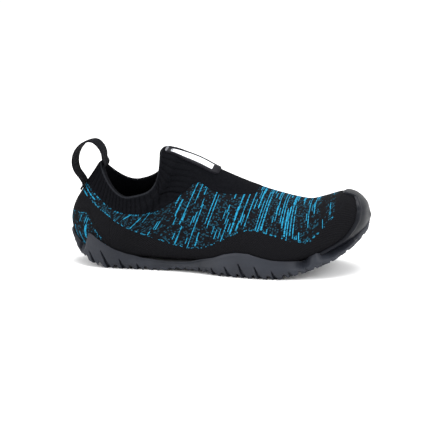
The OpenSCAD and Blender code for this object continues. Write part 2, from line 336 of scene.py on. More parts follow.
def capped(name, grid, material, **floats):
    """A closed form from a stack of rings, with a point in the middle of its first and last ring."""
    rows, columns = grid.shape[:2]
    count = rows * columns
    faces = quads(rows, columns, True)
    end = count - columns
    faces += [[count, j, (j + 1) % columns] for j in range(columns)]
    faces += [[count + 1, end + (j + 1) % columns, end + j] for j in range(columns)]
    points = np.concatenate([grid.reshape(-1, 3), [grid[0].mean(0), grid[-1].mean(0)]])
    ended = {k: np.concatenate([np.ravel(v), [np.mean(v[0]), np.mean(v[-1])]]) for k, v in floats.items()}
    return build(name, points, faces, material, **ended)


# ---- material graphs


def operator(operation, swapped=False):
    """A method that wires two values, the second one first if swapped."""
    def method(self, other):
        values = (other, self) if swapped else (self, other)
        return self.graph.math(operation, *values)
    return method


class Wire:
    """A shader socket that takes part in sums."""

    def __init__(self, graph, socket):
        self.graph, self.socket = graph, socket

    __add__, __radd__ = operator("ADD"), operator("ADD", swapped=True)
    __sub__, __rsub__ = operator("SUBTRACT"), operator("SUBTRACT", swapped=True)
    __mul__, __rmul__ = operator("MULTIPLY"), operator("MULTIPLY", swapped=True)
    __truediv__ = operator("DIVIDE")
    __gt__, __lt__ = operator("GREATER_THAN"), operator("LESS_THAN")


class Graph:
    """A material with one Principled shader and a few short ways to wire it."""

    def __init__(self, name, color=(0, 0, 0), roughness=0.6, **sockets):
        self.material = bpy.data.materials.new(name)
        self.material.use_nodes = True
        self.tree = self.material.node_tree
        self.shader = self.tree.nodes["Principled BSDF"]
        self.set(Base_Color=color, Roughness=roughness, **sockets)

    def put(self, value, socket):
        if isinstance(value, Wire):
            self.tree.links.new(value.socket, socket)
        elif isinstance(value, (tuple, list)) and len(value) == 3 and socket.type == "RGBA":
            socket.default_value = (*value, 1)
        else:
            socket.default_value = value

    def wire(self, kind, inputs, output=0, **settings):
        """A new node's output; the inputs are by the sockets' names or numbers."""
        node = self.tree.nodes.new("ShaderNode" + kind)
        for key, value in settings.items():
            setattr(node, key, value)
        for key, value in inputs.items():
            self.put(value, node.inputs[key])
        return Wire(self, node.outputs[output])

    def math(self, operation, *values):
        return self.wire("Math", dict(enumerate(values)), operation=operation)

    def attribute(self, name):
        return self.wire("Attribute", {}, "Fac", attribute_name=name)

    def place(self, scale):
        """The point's place on the object, in millimetres times scale."""
        place = self.wire("TexCoord", {}, "Object")
        return self.wire("VectorMath", {0: place, "Scale": scale / MM}, operation="SCALE")

    def vector(self, x=0.0, y=0.0, z=0.0):
        return self.wire("CombineXYZ", {"X": x, "Y": y, "Z": z})

    def noise(self, at, scale, detail):
        return self.wire("TexNoise", {"Vector": at, "Scale": scale, "Detail": detail}, "Fac")

    def white(self, x, y=0.0, z=0.0):
        """A fixed random number for each x, y and z."""
        at = self.vector(x, y, z)
        return self.wire("TexWhiteNoise", {"Vector": at}, "Value", noise_dimensions="3D")

    def floor(self, a):
        return self.math("FLOOR", a)

    def fract(self, a):
        return self.math("FRACT", a)

    def absolute(self, a):
        return self.math("ABSOLUTE", a)

    def ramp(self, a, low, high, to_low=0.0, to_high=1.0):
        limits = {"From Min": low, "From Max": high, "To Min": to_low, "To Max": to_high}
        return self.wire("MapRange", {"Value": a, **limits}, interpolation_type="SMOOTHSTEP")

    def mix(self, share, a, b):
        return self.wire("Mix", {0: share, 6: a, 7: b}, 2, data_type="RGBA")

    def bump(self, height, depth):
        normal = self.wire("Bump", {"Height": height, "Distance": depth * MM}, "Normal")
        self.put(normal, self.shader.inputs["Normal"])

    def set(self, **values):
        for key, value in values.items():
            self.put(value, self.shader.inputs[key.replace("_", " ")])
        return self


BLACK_YARN = (0.0035, 0.0035, 0.0045)
GREY_YARN = (0.009, 0.0095, 0.0115)
CYAN_YARN = (0.018, 0.27, 0.46)
DIM_YARN = (0.010, 0.062, 0.098)
MESH_YARN, MESH_HOLE = (0.0075, 0.0075, 0.009), (0.001, 0.001, 0.0015)
TURN = 6.2832  # radians in a full turn
WALE, COURSE = 1.25, 1.05  # pitch of the upper's stitches, across and along
MESH_PITCH = 1.7


def loops(g, across, along):
    """Height of plain knit: columns of V-shaped stitches, across and along counted in stitches."""
    side = g.absolute(g.fract(across) - 0.5)
    rise = g.absolute(g.fract(along + side * 0.9) - 0.5) * 2
    return (1 - side * 1.6) * (0.35 + rise * 0.65)


def float_runs(g, at, width, length, chance, fill, seed):
    """Where floats of one kind lie: lanes of that width across, and runs of about that length along."""
    phi, tee, edge, amount = at
    across = phi / width
    lane = g.floor(across)
    along = tee / length + g.white(lane, seed) * 9
    run = g.floor(along)
    part = g.fract(along)
    on = g.white(lane, run, seed + 1) < amount * chance
    on = on * (part > g.white(lane, run, seed + 2) * 0.3)
    on = on * (part < 1 - g.white(lane, run, seed + 3) * 0.3)
    inside = edge > g.white(lane, run, seed + 4) * 4 - 0.5
    ragged = g.white(lane, g.floor(tee / COURSE), seed + 5) * 0.16
    return on * inside * (g.absolute(g.fract(across) - 0.5) + ragged < fill + 0.08)


def patterned_knit():
    """Black jacquard knit with blue floats along its wales, and plain black mesh below the swoosh."""
    g = Graph("patterned_knit", roughness=0.82, Specular_IOR_Level=0.05)
    phi, tee, edge, border, amount = (g.attribute(k) for k in ("phi", "tee", "edge", "border", "amount"))
    at = (phi, tee, edge, amount)
    bold = float_runs(g, at, 4.6, 92, 0.18, 0.12, 3) * (amount > 1.0)
    thin = float_runs(g, at, 2.8, 84, 0.32, 0.13, 17)
    short = float_runs(g, at, 1.7, 13, 0.1, 0.2, 31)
    stripe = g.math("MAXIMUM", g.math("MAXIMUM", bold, thin), short)
    stitch = g.white(g.floor(phi / WALE), g.floor(tee / COURSE), 5.0)
    patch = g.noise(g.vector(phi, tee), 0.06, 1.0)
    inside = edge > 0
    dots = inside * (stitch > 1.0 - patch * 0.38 - g.ramp(amount, 0.0, 0.5, -0.25, 0.0))
    near_edge = inside * (edge < 1.1) * (stitch > 0.72) * (amount > 0.15)
    near_cuff = inside * (border < 1.3) * (stitch > 0.6)
    rim_dots = g.math("MAXIMUM", near_edge, near_cuff)
    light = g.white(g.floor(phi / WALE), g.floor(tee / COURSE), 9.0)
    black = g.mix(light * 0.55, BLACK_YARN, GREY_YARN)
    base = g.mix(dots * (0.35 + light * 0.65), black, DIM_YARN)
    base = g.mix(rim_dots * (0.25 + light * 0.6), base, CYAN_YARN)
    base = g.mix(stripe * (0.8 + light * 0.2), base, CYAN_YARN)
    wave = TURN / MESH_PITCH
    mesh_gap = g.math("COSINE", phi * wave) * g.math("COSINE", tee * wave)
    mesh = g.mix(g.ramp(mesh_gap, -0.2, 0.7), MESH_YARN, MESH_HOLE)
    stitches = loops(g, phi / WALE, tee / COURSE) * (0.6 + inside * 0.4)
    g.bump(stitches + stripe * 0.5 - mesh_gap * (1 - inside) * 0.5, 0.45)
    return g.set(Base_Color=g.mix(inside, mesh, base)).material


def ribbed_knit():
    """Black elastic rib: the ribs are in the mesh, the stitches run along them."""
    g = Graph("ribbed_knit", roughness=0.86, Specular_IOR_Level=0.03, Sheen_Weight=0.004)
    across, along, valley, rim = (g.attribute(k) for k in ("across", "along", "valley", "rim"))
    light = g.white(g.floor(across / 0.9), g.floor(along / 1.0), 2.0)
    base = g.mix(light * 0.6, (0.0024, 0.0026, 0.0036), (0.0052, 0.0055, 0.0072))
    # Painted shade: darker in the valleys between the ribs.
    base = g.mix(valley, base, (0.0007, 0.0007, 0.001))
    # Painted highlight: a pale line along the rim.
    base = g.mix(rim * (0.7 + light * 0.3), base, (0.019, 0.0205, 0.024))
    g.bump(loops(g, across / 0.9, along / 1.0), 0.3)
    return g.set(Base_Color=base).material


def jersey(name, dark, pale, pitch):
    """Fine plain cloth face, for the lining and the insole."""
    g = Graph(name, roughness=0.9, Specular_IOR_Level=0.04)
    phi, tee = g.attribute("phi"), g.attribute("tee")
    light = g.white(g.floor(phi / pitch), g.floor(tee / pitch), 4.0)
    g.bump(loops(g, phi / pitch, tee / pitch), 0.25)
    return g.set(Base_Color=g.mix(light, dark, pale)).material


def moulded_rubber(name, dark, pale, roughness, shine, grain):
    """Moulded rubber: soft cloudy tone, fine grain, and patchy pale where an attribute says so: scuffs on
    the tread, scuffs and a painted floor reflection low on the sole's wall, and a painted highlight along
    the bumper's rim.
    """
    g = Graph(name, roughness=roughness, Specular_IOR_Level=shine)
    cloud = g.noise(g.place(0.03), 1.0, 3.0)
    fine = g.noise(g.place(1.1), 1.0, 2.0)
    # Patchy pale: scuffs, a painted floor reflection and a painted highlight, as the attribute gives them.
    wear = g.attribute("wear") * g.ramp(g.noise(g.place(0.35), 1.0, 3.0), 0.35, 0.65)
    base = g.mix(g.ramp(cloud, 0.3, 0.7), dark, pale)
    base = g.mix(wear * 0.5, base, tuple(min(1, c * 1.9) for c in pale))
    g.bump(fine, grain)
    rough = g.ramp(fine, 0.2, 0.8, roughness - 0.05, roughness + 0.09) + wear * 0.15
    return g.set(Base_Color=base, Roughness=rough).material


def woven_webbing():
    """Narrow woven ribbon: herringbone ribs along its length."""
    g = Graph("webbing", roughness=0.75, Specular_IOR_Level=0.03)
    across, along = g.attribute("across"), g.attribute("along")
    zig = g.absolute(g.fract(across / 4.0) - 0.5) * 4.0
    pitch = 1.3
    rib = g.math("SINE", (along + zig) * (TURN / pitch)) * 0.5 + 0.5
    thread = g.white(g.floor(across / 0.6), g.floor((along + zig) / pitch), 1.0)
    # Painted shade and light: darker in the weave's grooves, paler on its ribs; each thread's tone differs
    # at random.
    base = g.mix(rib * 0.7 + thread * 0.3, (0.0015, 0.0016, 0.0022), (0.0105, 0.011, 0.014))
    g.bump(rib + thread * 0.3, 0.22)
    return g.set(Base_Color=base).material


def speckled(name, dark, pale, roughness, scale, detail, depth):
    """A plain rough material with fine specks, for board and foam."""
    g = Graph(name, roughness=roughness)
    specks = g.noise(g.place(scale), 1.0, detail)
    g.bump(specks, depth)
    return g.set(Base_Color=g.mix(specks, dark, pale)).material


def printed_film(name, dark, pale, roughness):
    """Thin heat-bonded film, slightly uneven, paler where the tab attribute is high."""
    g = Graph(name, roughness=roughness, Specular_IOR_Level=0.06)
    uneven = g.noise(g.place(0.25), 1.0, 3.0)
    base = g.mix(g.attribute("tab"), g.mix(uneven, dark, pale), (0.16, 0.165, 0.18))
    g.bump(g.noise(g.place(1.4), 1.0, 2.0), 0.05)
    return g.set(Base_Color=base).material


MATERIALS = {
    "knit": patterned_knit(),
    "rib": ribbed_knit(),
    "lining": jersey("neoprene_jersey", (0.0012, 0.0012, 0.0016), (0.0024, 0.0024, 0.0032), 1.1),
    "insole": jersey("insole_cloth", (0.012, 0.012, 0.014), (0.03, 0.03, 0.034), 1.4),
    "sole": moulded_rubber("sole_rubber", (0.0110, 0.0126, 0.0175), (0.0188, 0.0213, 0.0285),
                           roughness=0.5, shine=0.22, grain=0.10),
    "bumper": moulded_rubber("bumper_rubber", (0.004, 0.0046, 0.0066), (0.0076, 0.0086, 0.012),
                             roughness=0.36, shine=0.13, grain=0.04),
    "webbing": woven_webbing(),
    "board": speckled("fibre_board", (0.30, 0.27, 0.22), (0.55, 0.51, 0.44), 0.85, 0.9, 4.0, 0.15),
    "foam": speckled("midsole_foam", (0.05, 0.05, 0.055), (0.13, 0.13, 0.14), 0.8, 1.6, 2.0, 0.12),
    "badge": printed_film("badge_film", (0.006, 0.006, 0.008), (0.011, 0.011, 0.014), 0.5),
    "inlay": printed_film("inlay_film", (0.66, 0.68, 0.72), (0.80, 0.81, 0.84), 0.4),
}

# ---- pieces


def finish_piece(obj, nodes, body="rearfoot", bends=False):
    """Hides the CAD parts a piece replaces, and either puts it on a body or, if bends is set, bakes its
    transform and leaves it unparented.
    """
    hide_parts(*nodes)
    if bends:
        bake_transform(obj)
    else:
        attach(obj, body)
    return obj


def length_along(line):
    """Length along a line of points, up to each of them."""
    return np.concatenate([[0], np.cumsum(np.linalg.norm(np.diff(line, axis=0), axis=1))])


# Length along the sock, up to each of its rings, on the outer side and low at the heel.
SIDE_RUN, HEEL_RUN = (length_along(sock.at(sock.u, s)) for s in (0.27, 0.12))
BEHIND = -98 * K  # the heel's knit has wales of its own behind this x


def low_heel(points):
    """Whether points lie on the heel's patch, whose stripes stand upright."""
    return (points[..., 0] < BEHIND) & (boundary_gap(points, HEEL_PATCH) < 3)


def knit_coordinates(u, s):
    """Wale and course places of points on the sock, in millimetres."""
    points = sock.at(u, s)
    behind = points[..., 0] < BEHIND
    phi = np.where(behind, np.interp(u, sock.u, HEEL_RUN), np.interp(u, sock.u, SIDE_RUN))
    tee = (0.5 - np.abs(np.mod(s, 1) - 0.5)) * np.interp(u, sock.u, sock.girth)
    upright = low_heel(points)
    return np.where(upright, tee, phi), np.where(upright, phi, tee)


def boundary_gap(points, line):
    """About how far points lie above a side-view line, measured square to the line."""
    x = points[..., 0]
    slope = (line_at(line, x + 1) - line_at(line, x - 1)) / 2
    return (points[..., 2] - line_at(line, x)) / np.sqrt(1 + slope**2)


def edge_of_cuff(s):
    """Row number at which the cuff's lower edge crosses the line of share s."""
    lowest = 8
    points = sock.at(np.linspace(RIM, lowest, 500)[None, :], s[:, None])
    return RIM + (lowest - RIM) * first_below(points, CUFF_EDGE)


def edge_of_gore(u):
    """Share s of the gore's edge on the outer side, on the ring u."""
    points = sock.at(u[:, None], np.linspace(0.5, 0.2, 400)[None, :])
    return 0.5 - 0.3 * first_below(points, GORE_EDGE)


# Places of faces square to the sock's surface, in millimetres outwards.
KNIT_INSIDE, HEM_OUTSIDE, LINING_OUTSIDE, LINING_INSIDE = -1.7, -2.0, -3.3, -4.4
CORNER = 0.35  # share s of the seam between cuff and gore
HEM = 1.6  # depth of the hem inside the rim, in row numbers
RIBS = 50  # ribs in a full turn of the cuff
BAND_TOP = RIM - 0.05  # where the face of cuff and gore ends and the roll over the rim begins
ROLL_ROWS, HEM_ROWS = 9, 12  # rows of points in the roll, and in each face of the hem
ROLLED_RUN = 46  # millimetres of stitches counted round a band's cross-section
GORE_TIP = 8.3  # row number of the gore's end on the vamp
NO_BORDER = 99  # farther than any border mark reaches


def whole_rings(first, last, rows, columns):
    """A grid of rows u and shares s that goes all the way round the sock."""
    u = np.linspace(first, last, rows)[:, None]
    return np.broadcast_arrays(u, (np.arange(columns) / columns)[None, :])


def knit_upper():
    """The knitted sock; its floats say where the pattern, its edges and the plain mesh lie."""
    u, s = whole_rings(0.35, RIM - 0.35, 330, 420)
    flat, inner = sock.at(u, s), sock.at(u, s, KNIT_INSIDE)
    x = flat[..., 0]
    gap_cuff, gap_gore = boundary_gap(flat, CUFF_EDGE), boundary_gap(flat, GORE_EDGE)
    under_gore = smoothstep(gap_gore, 0, 3) * (x > -32 * K) * (x < 41 * K)
    covered = np.maximum(smoothstep(gap_cuff, 0, 3), under_gore)
    outer = sock.at(u, s, -0.6 * covered)
    edge = boundary_gap(outer, SWOOSH)
    edge = np.where(x < -88 * K, np.maximum(edge, -boundary_gap(outer, HEEL_PATCH)), edge)
    edge = np.where(covered > 0.9, -5, edge)
    amount = np.where(low_heel(outer), 1.2, table_at(FLOAT_AMOUNT, x / K))
    border = np.where(x < -52 * K, np.abs(gap_cuff), NO_BORDER)
    phi, tee = knit_coordinates(u, s)
    obj = shell("knit_upper", outer, inner, True, MATERIALS["knit"],
                phi=phi, tee=tee, edge=edge, border=border, amount=amount)
    nodes = ["knit_quarters", "vamp_flex_zone", "knit_toe_box"]
    return finish_piece(obj, nodes, bends=True)


def rib_height(phase):
    """Rounded ribs with narrow valleys, from 0 in a valley to 1 on a rib."""
    return np.sqrt(np.abs(np.sin(phase / 2)))


def ribbed_cuff():
    """The ankle cuff: a band down the outside, rolled over the rim, with a hem that grips the knit."""
    half = np.linspace(0, CORNER, 330)
    s = np.concatenate([-half[:0:-1], half])
    low = edge_of_cuff(np.abs(s))
    t = np.linspace(0, 1, 46)[:, None]
    u_out = low[None, :] * (1 - t) + BAND_TOP * t
    s_grid = np.broadcast_to(s[None, :], u_out.shape)
    flat = sock.at(u_out, s_grid)
    rib = rib_height(np.arctan2(flat[..., 1], flat[..., 0] + 84 * K) * RIBS)
    fade = smoothstep(t, 0, 0.12) * (1 - 0.75 * smoothstep(t, 0.9, 1.0))
    outer = sock.at(u_out, s_grid, 0.35 + rib * fade)
    under = sock.at(u_out[::-1], s_grid, -0.4)
    grid = np.concatenate([outer, rim_roll(outer[-1], s), hem_rows(s), under])
    rows, first = len(grid), len(outer)
    arc = length_along(flat[-1])
    along = np.linspace(0, ROLLED_RUN, rows)[:, None] + 0 * arc[None, :]
    across = np.broadcast_to(arc[None, :], (rows, len(s)))
    marks = band_marks(grid, (1 - rib) ** 2 * fade, first, 1)
    return banded("ribbed_cuff", grid, across=across, along=along, **marks)


def band_marks(grid, deep, first, strength):
    """How deep in a valley, for the painted shade there, and how near the rim, for the painted highlight
    along it, each point of a band is.
    """
    valley, painted_rim_highlight = np.zeros((2, *grid.shape[:2]))
    # Painted shade in the rib valleys.
    valley[:first] = deep * 0.8
    # Painted highlight along the rim, three rows wide.
    painted_rim_highlight[first - 1: first + 2] = np.array([0.5, 1, 0.5])[:, None] * strength
    return {"valley": valley, "rim": painted_rim_highlight}


def rim_roll(last_row, s):
    """Half a turn over the rim, from the end of the outer face to the top of the hem."""
    inside = sock.at(RIM, s, LINING_INSIDE)
    middle, reach = (last_row + inside) / 2, (last_row - inside) / 2
    up = sock.at(RIM, s) - sock.at(RIM - 0.3, s)
    up = up / np.linalg.norm(up, axis=-1, keepdims=True)
    turn = np.linspace(0, np.pi, ROLL_ROWS + 1)[1:, None, None]
    return middle + reach * np.cos(turn) + up * (1.9 * np.sin(turn))


def hem_rows(s):
    """Down the inner face of the hem, round its end, and up its outer face to the knit's top edge."""
    path = [(RIM - d, LINING_INSIDE) for d in np.linspace(0.15, HEM, HEM_ROWS)]
    path += [(RIM - d, HEM_OUTSIDE) for d in np.linspace(HEM, 0.3, HEM_ROWS)]
    return np.stack([sock.at(u, s, out) for u, out in path])


def band_end(row):
    """Faces that close one end of a band: its face, the top of its roll, and its hem."""
    face = (len(row) - ROLL_ROWS - 2 * HEM_ROWS) // 2
    ends = np.cumsum([0, face, ROLL_ROWS, HEM_ROWS, HEM_ROWS, face]).tolist()
    out, roll, down, up, under = (row[i:j] for i, j in zip(ends, ends[1:]))
    return strip(out, under[::-1]) + strip(down, up[::-1]) + [[out[-1], *roll, down[0], up[-1], under[0]]]


def banded(name, grid, **floats):
    """A closed band from a grid whose rows come round to where they began, open at neither end."""
    rows, columns = grid.shape[:2]
    number = np.arange(rows * columns).reshape(rows, columns)
    faces = quads(rows, columns, False) + strip(number[-1], number[0])
    faces += band_end(number[:, 0].tolist())[::-1] + band_end(number[:, -1].tolist())
    obj = build(name, grid.reshape(-1, 3), faces, MATERIALS["rib"], **floats)
    return finish_piece(obj, [name], bends=name == "instep_gore")


def instep_gore():
    """The elastic panel on the instep, from the tongue's edge to a point on the vamp."""
    u = np.linspace(BAND_TOP, GORE_TIP, 260)
    low = np.where(u > edge_of_cuff(np.array([CORNER]))[0], CORNER, edge_of_gore(u))
    low = np.clip(low, CORNER, 0.4995) + 0.0006
    across = np.linspace(-1, 1, 241)[None, :]
    s = 0.5 + across * (0.5 - low)[:, None]
    u_grid = np.broadcast_to(u[:, None], s.shape)
    flat = sock.at(u_grid, s)
    rib = rib_height((s - 0.5) * 2 * np.pi * RIBS + np.pi)
    near_rim = 1 - smoothstep(u_grid, RIM - 0.6, RIM)
    fade = (1 - smoothstep(flat[..., 0], -40 * K, -4 * K)) * (0.25 + 0.75 * near_rim)
    beside_badge = smoothstep(np.abs(flat[..., 1] + 4.2), 8.4, 10.0)
    fade = fade * np.where(flat[..., 0] > -51.5 * K, beside_badge, 1)
    at_seam = smoothstep(1 - np.abs(across), 0, 0.06) * smoothstep(u_grid, GORE_TIP, GORE_TIP + 0.6)
    settle = np.maximum(at_seam, (u_grid > RIM - 5) * 0.7)
    outer = sock.at(u_grid, s, -0.1 + 0.45 * settle + 0.8 * rib * fade * settle)
    under = sock.at(u_grid, s, -0.5)[::-1]
    grid = np.concatenate([outer[::-1], rim_roll(outer[0], s[0]), hem_rows(s[0]), under[::-1]])
    rows, first = len(grid), len(outer)
    place = (s - 0.5) * np.interp(u, sock.u, sock.girth)[:, None]
    across_mm = np.repeat(place[:1], rows, 0)
    across_mm[:first] = place[::-1]
    run = np.interp(u[::-1], sock.u, SIDE_RUN)
    rest = run[-1] + np.linspace(0, ROLLED_RUN, rows - first)
    along = np.concatenate([run, rest])[:, None] + 0 * across_mm
    marks = band_marks(grid, ((1 - rib) ** 2 * fade)[::-1], first, 0.8)
    return banded("instep_gore", grid, across=across_mm, along=along, **marks)


def neoprene_lining():
    """The sock inside the sock, up to the hem."""
    u, s = whole_rings(0.6, RIM - HEM - 0.05, 200, 220)
    phi, tee = knit_coordinates(u, s)
    obj = shell("neoprene_lining", sock.at(u, s, LINING_OUTSIDE), sock.at(u, s, LINING_INSIDE), True,
                MATERIALS["lining"], phi=phi, tee=tee)
    return finish_piece(obj, ["neoprene_lining"], bends=True)


def stiffener(name, body, first_u, last_u, half, middle_s):
    """A board pocketed between knit and lining, with a rounded free edge."""
    t = np.linspace(0, 1, 60)[:, None]
    across = np.linspace(-1, 1, 121)[None, :]
    wide = half * np.sqrt(np.clip(1 - t**4, 0.03, 1))
    s = middle_s + across * wide
    u = first_u + (last_u - first_u) * t + 0 * across
    obj = shell(name, sock.at(u, s, -1.9), sock.at(u, s, -2.9), False, MATERIALS["board"])
    return finish_piece(obj, [name], body=body)


def foot_bed(name, material, top, bottom, half_share, first, last):
    """A layer over the bottom of the sock with rounded ends."""
    u = first + (last - first) * (1 - np.cos(np.linspace(0.04, np.pi - 0.04, 150))) / 2
    shape = np.sqrt(np.clip(1 - np.abs(2 * (u - first) / (last - first) - 1) ** 5, 0, 1))
    s = np.linspace(-1, 1, 61)[None, :] * (half_share * shape)[:, None]
    u = np.broadcast_to(u[:, None], s.shape)
    phi, tee = knit_coordinates(u, s)
    obj = shell(name, sock.at(u, s, bottom), sock.at(u, s, top), False, material, phi=phi, tee=tee)
    return finish_piece(obj, [name], bends=True)


# ---- sole

LUG_PITCH = 14.6
LUG_START = 99.4  # puts the grooves where the photo has them
WALL_STEPS, TREAD_STEPS = 26, 43
# Half width of the middle row of lugs, and length of the side slits, against x along the foot.
RAIL = [[-130, 12], [-60, 13], [0, 15], [60, 20], [110, 12]]
SLIT_LENGTH = [
    [-112, 9], [-106, 16], [-92, 9], [-76, 5.5], [-60, 1], [-20, 0.5], [0, 5.5], [14, 9], [28, 13],
    [44, 10], [60, 6.5], [76, 4], [92, 3.5],
]


def outline_columns(count):
    """Points round the sole's outline at even spacing, with their outward directions."""
    closed = np.vstack([OUTLINE[-1:], OUTLINE, OUTLINE[:3]]) * K
    fine = catmull(closed, np.linspace(1, len(OUTLINE) + 1, 4001))
    run = length_along(fine)
    at = np.linspace(0, run[-1], count, endpoint=False)
    points = np.stack([np.interp(at, run, fine[:, c]) for c in range(2)], -1)
    tangent = np.roll(points, -1, 0) - np.roll(points, 1, 0)
    tangent /= np.linalg.norm(tangent, axis=1, keepdims=True)
    return at, points, np.stack([tangent[:, 1], -tangent[:, 0]], -1)


def sock_tree():
    grid = sock.points[::2, ::2]
    rows, columns = grid.shape[:2]
    return BVHTree.FromPolygons(grid.reshape(-1, 3).tolist(), quads(rows, columns, True))


def sock_offset(tree, columns, z):
    """How far the sock lies outside the outline at heights z, for every column."""
    run, centre, normal = columns
    start, reach = 30, 45
    found = np.full(len(run), np.nan)
    for i in range(0, len(run), 5):
        origin = Vector((*(centre[i] + normal[i] * start), z[i]))
        hit = tree.ray_cast(origin, Vector((*(-normal[i]), 0)))
        if hit[0] is not None and hit[3] < reach:
            found[i] = start - hit[3]
    known = np.flatnonzero(~np.isnan(found))
    filled = np.interp(run, run[known], found[known], period=run[-1] + run[1])
    for _ in range(60):
        filled = (np.roll(filled, 1) + filled * 2 + np.roll(filled, -1)) / 4
    return filled


def lug_phase(x):
    """Millimetres past the last groove, counted towards the toe."""
    return np.mod(x / K + LUG_START, LUG_PITCH)


def tread_depth(x):
    """Depth of the lugs: full under heel and ball, shallow at the waist and the toe's tip."""
    waist = smoothstep(x, -62 * K, -48 * K) * (1 - smoothstep(x, -14 * K, 2 * K))
    return 3.2 * (1 - 0.55 * waist) * (1 - 0.6 * smoothstep(x, 76 * K, 100 * K))


def sole_bottom(x, y):
    """Height of the tread: saw-edged side lugs and a middle row set half a pitch off."""
    side = lug_phase(x - 0.12 * np.abs(y))
    middle = lug_phase(x + LUG_PITCH / 2 * K - 0.5 * np.abs(y))
    saw = 1 - smoothstep(side, 1.6, 5.8 - 2.8 * smoothstep(x, 66 * K, 96 * K))
    cut = 1 - smoothstep(np.abs(middle - 3), 1.0, 2.0)
    rail = table_at(RAIL, x / K)
    in_middle = 1 - smoothstep(np.abs(y), rail - 0.4, rail + 0.4)
    rail_cut = 1 - smoothstep(np.abs(np.abs(y) - rail), 0.7, 1.5)
    back = 1 - smoothstep(x, 84 * K, 104 * K)
    groove = np.maximum(saw * (1 - in_middle * back) + cut * in_middle * back, rail_cut * 0.8 * back)
    return line_at(UNDERSIDE, x) + tread_depth(x) * groove


def slit_depth(x, rise):
    """Depth of the slanted slits that run up the side wall from each groove."""
    long = table_at(SLIT_LENGTH, x / K)
    off = np.abs(lug_phase(x + (0.52 * rise + LUG_PITCH / 2) * K) - LUG_PITCH / 2)
    width = 1.9 * np.clip(1.15 - rise / np.maximum(long + 1, 1), 0.25, 1)
    cut = (1 - smoothstep(off, width * 0.7, width * 1.3)) * (1 - smoothstep(rise, long, long + 1.5))
    return 3.4 * cut * (1 - 0.65 * smoothstep(x, 76 * K, 96 * K))


def wall_rows(columns, top, bottom, top_offset, mid_offset):
    """From behind the lip over it and down the wall to the tread, each row with how pale it is painted near
    the bottom: scuffs and a painted reflection of the floor.
    """
    _, centre, normal = columns
    x = centre[:, 0]

    def row(distance, z):
        return np.column_stack([centre + normal * distance[:, None], z])

    behind_lip = [(-1.2, 3.5), (-0.6, 1.6), (0.2, 0.5)]
    rows = [(row(top_offset + out, top - down), np.zeros(len(x))) for out, down in behind_lip]
    waist = smoothstep(x, -84 * K, -56 * K) * (1 - smoothstep(x, -22 * K, 2 * K))
    saw = sole_bottom(x, centre[:, 1]) - bottom
    for k in range(WALL_STEPS + 1):
        share = k / WALL_STEPS
        z = top * (1 - share) + bottom * share
        rise = z - bottom
        lip = 1 - smoothstep(share * (top - bottom), 0, 2.4)
        hug = top_offset + 2.3 - lip
        low = 0.3 - 3.2 * waist - 2.6 * (1 - waist) * smoothstep(1 - rise / 7, 0.0, 1.0) ** 2
        body = np.minimum(np.maximum(mid_offset + 2.4, low), low + 1.2)
        w = smoothstep(share, 0.05, 0.7)
        cut = slit_depth(x, rise)
        z = z + saw * smoothstep(1 - rise / 4.5, 0, 1)
        # Paler along the wall's lower edge: scuffs, and a painted reflection of the floor.
        scuff_and_highlight = smoothstep(1 - rise / 5, 0, 1) * (cut < 0.4)
        rows.append((row(hug * (1 - w) + body * w - cut, z), scuff_and_highlight))
    return rows


def toward_spine(edge, share):
    """Where points that share of the way from the sole's edge to its middle line lie, from above."""
    spine_x = np.clip(edge[:, 0], -112 * K, 108 * K)
    spine_y = np.interp(spine_x, [-112 * K, 0, 60 * K, 108 * K], [0, -3, 0, 4])
    return edge[:, 0] * (1 - share) + spine_x * share, edge[:, 1] * (1 - share) + spine_y * share


def tread_rows(edge):
    rows = []
    for share in np.linspace(0, 1, TREAD_STEPS + 1)[1:-1]:
        x, y = toward_spine(edge, share)
        rows.append((np.column_stack([x, y, sole_bottom(x, y)]), np.full(len(x), 0.8)))
    return rows


def cup_rows(edge, top):
    """The floor of the cup that the foam lies in, from its middle out to the wall."""
    rows = []
    for share, lift in [(0.9, 5), (0.3, 5), (0.08, 5.5), (0.045, 9)]:
        x, y = toward_spine(edge, share)
        under = line_at(UNDERSIDE, x)
        height = np.maximum(np.minimum(under + lift, top - 4), under + 3.4)
        rows.append((np.column_stack([x, y, height]), np.zeros(len(x))))
    return rows


def outsole():
    """Wall, tread and cup in one closed form."""
    columns = outline_columns(1500)
    x = columns[1][:, 0]
    bottom = line_at(UNDERSIDE, x)
    top = np.maximum(line_at(RUBBER_EDGE, x), bottom + 4.5)
    tree, lowest = sock_tree(), 12.5 * K
    top_offset = sock_offset(tree, columns, np.maximum(top, lowest))
    mid_offset = sock_offset(tree, columns, np.maximum(top * 0.6 + bottom * 0.4 + 2, lowest))
    rows = wall_rows(columns, top, bottom, top_offset, mid_offset)
    edge = rows[-1][0]
    rows += tread_rows(edge) + cup_rows(edge, top)
    points, wear = (np.stack(part) for part in zip(*rows))
    obj = tube("outsole", points, MATERIALS["sole"], wear=wear)
    return finish_piece(obj, ["outsole_heel", "outsole_toe"], bends=True)


def midsole():
    """The foam wedge in the sole's cup, under the foot."""
    u = np.linspace(2.2, 15.2, 120)[:, None]
    rounded = np.sqrt(np.clip(1 - np.abs((u - 8.7) / 6.5) ** 6, 0.02, 1))
    s = np.linspace(-1, 1, 41)[None, :] * 0.105 * rounded
    u = np.broadcast_to(u, s.shape)
    top = sock.at(u, s, 0.4)
    bottom = top.copy()
    top[..., 2] = np.minimum(top[..., 2], line_at(RUBBER_EDGE, top[..., 0]) - 1.5)
    bottom[..., 2] = np.minimum(line_at(UNDERSIDE, top[..., 0]) + 5.2, top[..., 2] - 0.5)
    obj = shell("midsole", bottom, top, False, MATERIALS["foam"])
    return finish_piece(obj, ["midsole_heel", "midsole_toe"], bends=True)


